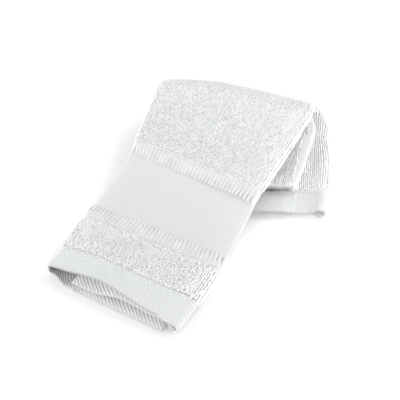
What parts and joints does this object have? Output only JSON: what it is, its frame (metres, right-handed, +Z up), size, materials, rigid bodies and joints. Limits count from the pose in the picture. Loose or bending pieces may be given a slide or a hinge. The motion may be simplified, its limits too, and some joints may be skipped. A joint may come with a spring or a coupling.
{
  "type": "sports towel",
  "caption": "White cotton terry sports towel, folded lengthwise in layers and turned back over itself, with ribbed borders and twill hems.",
  "frame": {"origin": "under the middle of the folded towel, on the surface that it rests on", "axes": "+Z up, +Y along the front panel from its end towards the ridge, +X to the right across the front panel"},
  "size_m": [0.159, 0.2342, 0.0441],
  "materials": {
    "cotton_terry": "matt looped cotton terry, with smooth and ribbed bands and twill hems"
  },
  "bodies": {
    "root": {"towel": "cotton_terry"}
  },
  "joints": []
}
